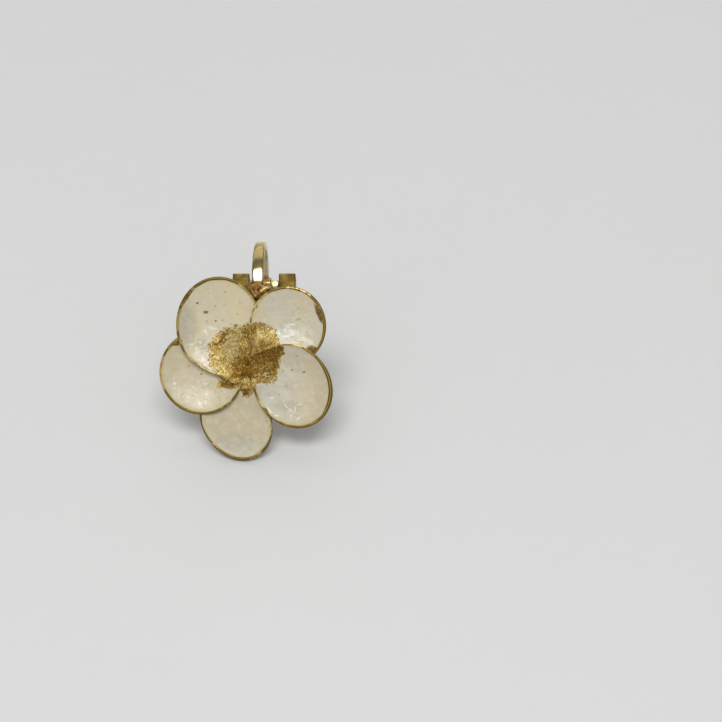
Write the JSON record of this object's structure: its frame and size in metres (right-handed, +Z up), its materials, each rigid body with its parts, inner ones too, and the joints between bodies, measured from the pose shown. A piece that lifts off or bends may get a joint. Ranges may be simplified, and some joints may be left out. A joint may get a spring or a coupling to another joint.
{
  "type": "flower clip-on earring",
  "caption": "Clip-on earring: a dished flower of enamelled, overlapping petals with gilt rims, and a hinged paddle clip behind it.",
  "frame": {"origin": "On the surface it stands on, under the middle of the earring's bounding box", "axes": "+Z up, -Y the way the flower faces (it leans back, so that it looks up at about 42 degrees), +X to the right of someone who looks at the flower"},
  "size_m": [0.0199, 0.0232, 0.0168],
  "materials": {
    "gilt": "polished gilt, worn darker along the rims",
    "enamel": "glossy cream enamel with fired gold powder towards the middle"
  },
  "bodies": {
    "flower": {"flower_setting": "gilt", "enamel_1": "enamel", "enamel_2": "enamel", "enamel_3": "enamel", "enamel_4": "enamel", "enamel_5": "enamel", "hinge_pin": "gilt"},
    "paddle": {"clip_paddle": "gilt"}
  },
  "joints": [
    {"name": "clip_hinge", "type": "hinge", "parent": "flower", "child": "paddle", "pos_m": [0.0011, 0.00997, 0.00842], "axis": [-1, 0, 0], "range_deg": [-50, 38]}
  ]
}
